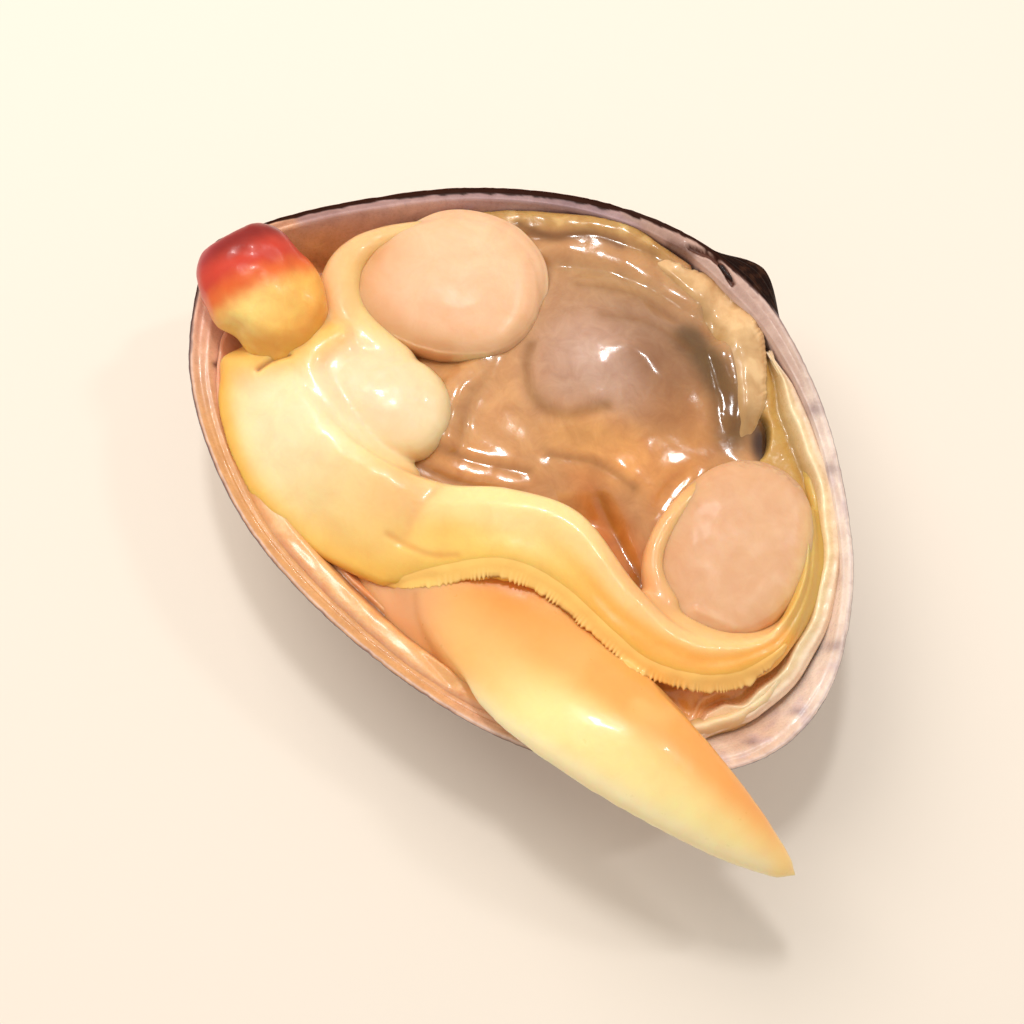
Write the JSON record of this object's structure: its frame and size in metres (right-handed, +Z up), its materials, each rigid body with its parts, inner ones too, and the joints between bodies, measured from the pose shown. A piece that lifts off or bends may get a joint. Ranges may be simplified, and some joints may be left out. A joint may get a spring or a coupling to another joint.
{
  "type": "clam on the half shell",
  "caption": "Surf clam opened on the half shell: a purple-rimmed valve lying bowl up, with the wet animal in it and its foot hanging over the rim",
  "frame": {"origin": "on the small flat spot under the bowl of the shell, on which it rests", "axes": "+X along the valve from the siphon end to the foot end, +Y towards the hinge and the beak, +Z up, square to the level rim"},
  "size_m": [0.0968, 0.066, 0.028],
  "materials": {
    "shell_finish": "shell, lilac to pink inside with a satin gloss, dark purple-brown along the rim and at the beak",
    "ligament_finish": "dark brown springy pad in the hinge",
    "lining_finish": "thin wet peach flesh with a pale rolled edge",
    "flap_finish": "thin pale beige to peach flesh with a ragged edge",
    "muscle_finish": "smooth pale cream-pink muscle",
    "gut_finish": "glossy translucent brown flesh, olive and orange in places",
    "mantle_finish": "thick wet yellow flesh with a cream crest and a fine toothed edge",
    "foot_finish": "smooth wet flesh, orange at the root and pale yellow towards the tip",
    "siphon_finish": "wet flesh, red at the tip through orange to yellow at the base"
  },
  "bodies": {
    "root": {"shell": "shell_finish", "ligament": "ligament_finish", "lower_mantle": "lining_finish", "posterior_adductor": "muscle_finish", "anterior_adductor": "muscle_finish", "siphon_muscle": "muscle_finish", "foot": "foot_finish", "siphon": "siphon_finish", "upper_mantle": "mantle_finish", "posterior_collar": "flap_finish", "anterior_collar": "flap_finish", "dorsal_flap": "flap_finish", "front_frill": "flap_finish", "gut": "gut_finish"}
  },
  "joints": []
}
